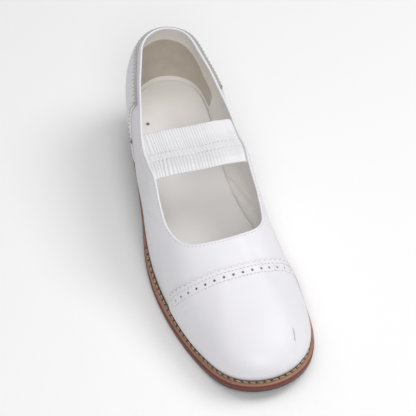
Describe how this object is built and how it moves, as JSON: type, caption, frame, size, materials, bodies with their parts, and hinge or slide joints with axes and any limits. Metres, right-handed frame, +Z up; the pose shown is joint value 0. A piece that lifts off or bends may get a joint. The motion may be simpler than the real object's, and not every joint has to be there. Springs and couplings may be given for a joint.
{
  "type": "heeled shoe",
  "caption": "Low-heeled strap shoe in smooth white leather with a perforated toe cap, a gathered elastic instep strap, a stitched welt, a leather outsole and a stacked heel.",
  "frame": {"origin": "middle of the bounding box, on the floor that the shoe stands on", "axes": "+Z up, -Y toward the toe, +X toward the inner side of the foot"},
  "size_m": [0.0882, 0.2553, 0.0887],
  "materials": {
    "upper_leather": "smooth white calf, soft sheen",
    "sole_leather": "stained and waxed sole edge",
    "welt_leather": "natural tan, matte",
    "sock_leather": "cream lining leather, matte",
    "heel_rubber": "matte",
    "strap_elastic": "gathered elastic covered with thin white leather"
  },
  "bodies": {
    "root": {"outsole": "sole_leather", "welt": "welt_leather", "heel_top_piece": "heel_rubber", "heel_lift_1": "sole_leather", "heel_lift_2": "sole_leather", "heel_lift_3": "sole_leather", "insole": "sock_leather", "upper": "upper_leather", "toe_cap": "upper_leather", "heel_counter": "upper_leather", "strap": "strap_elastic"}
  },
  "joints": []
}
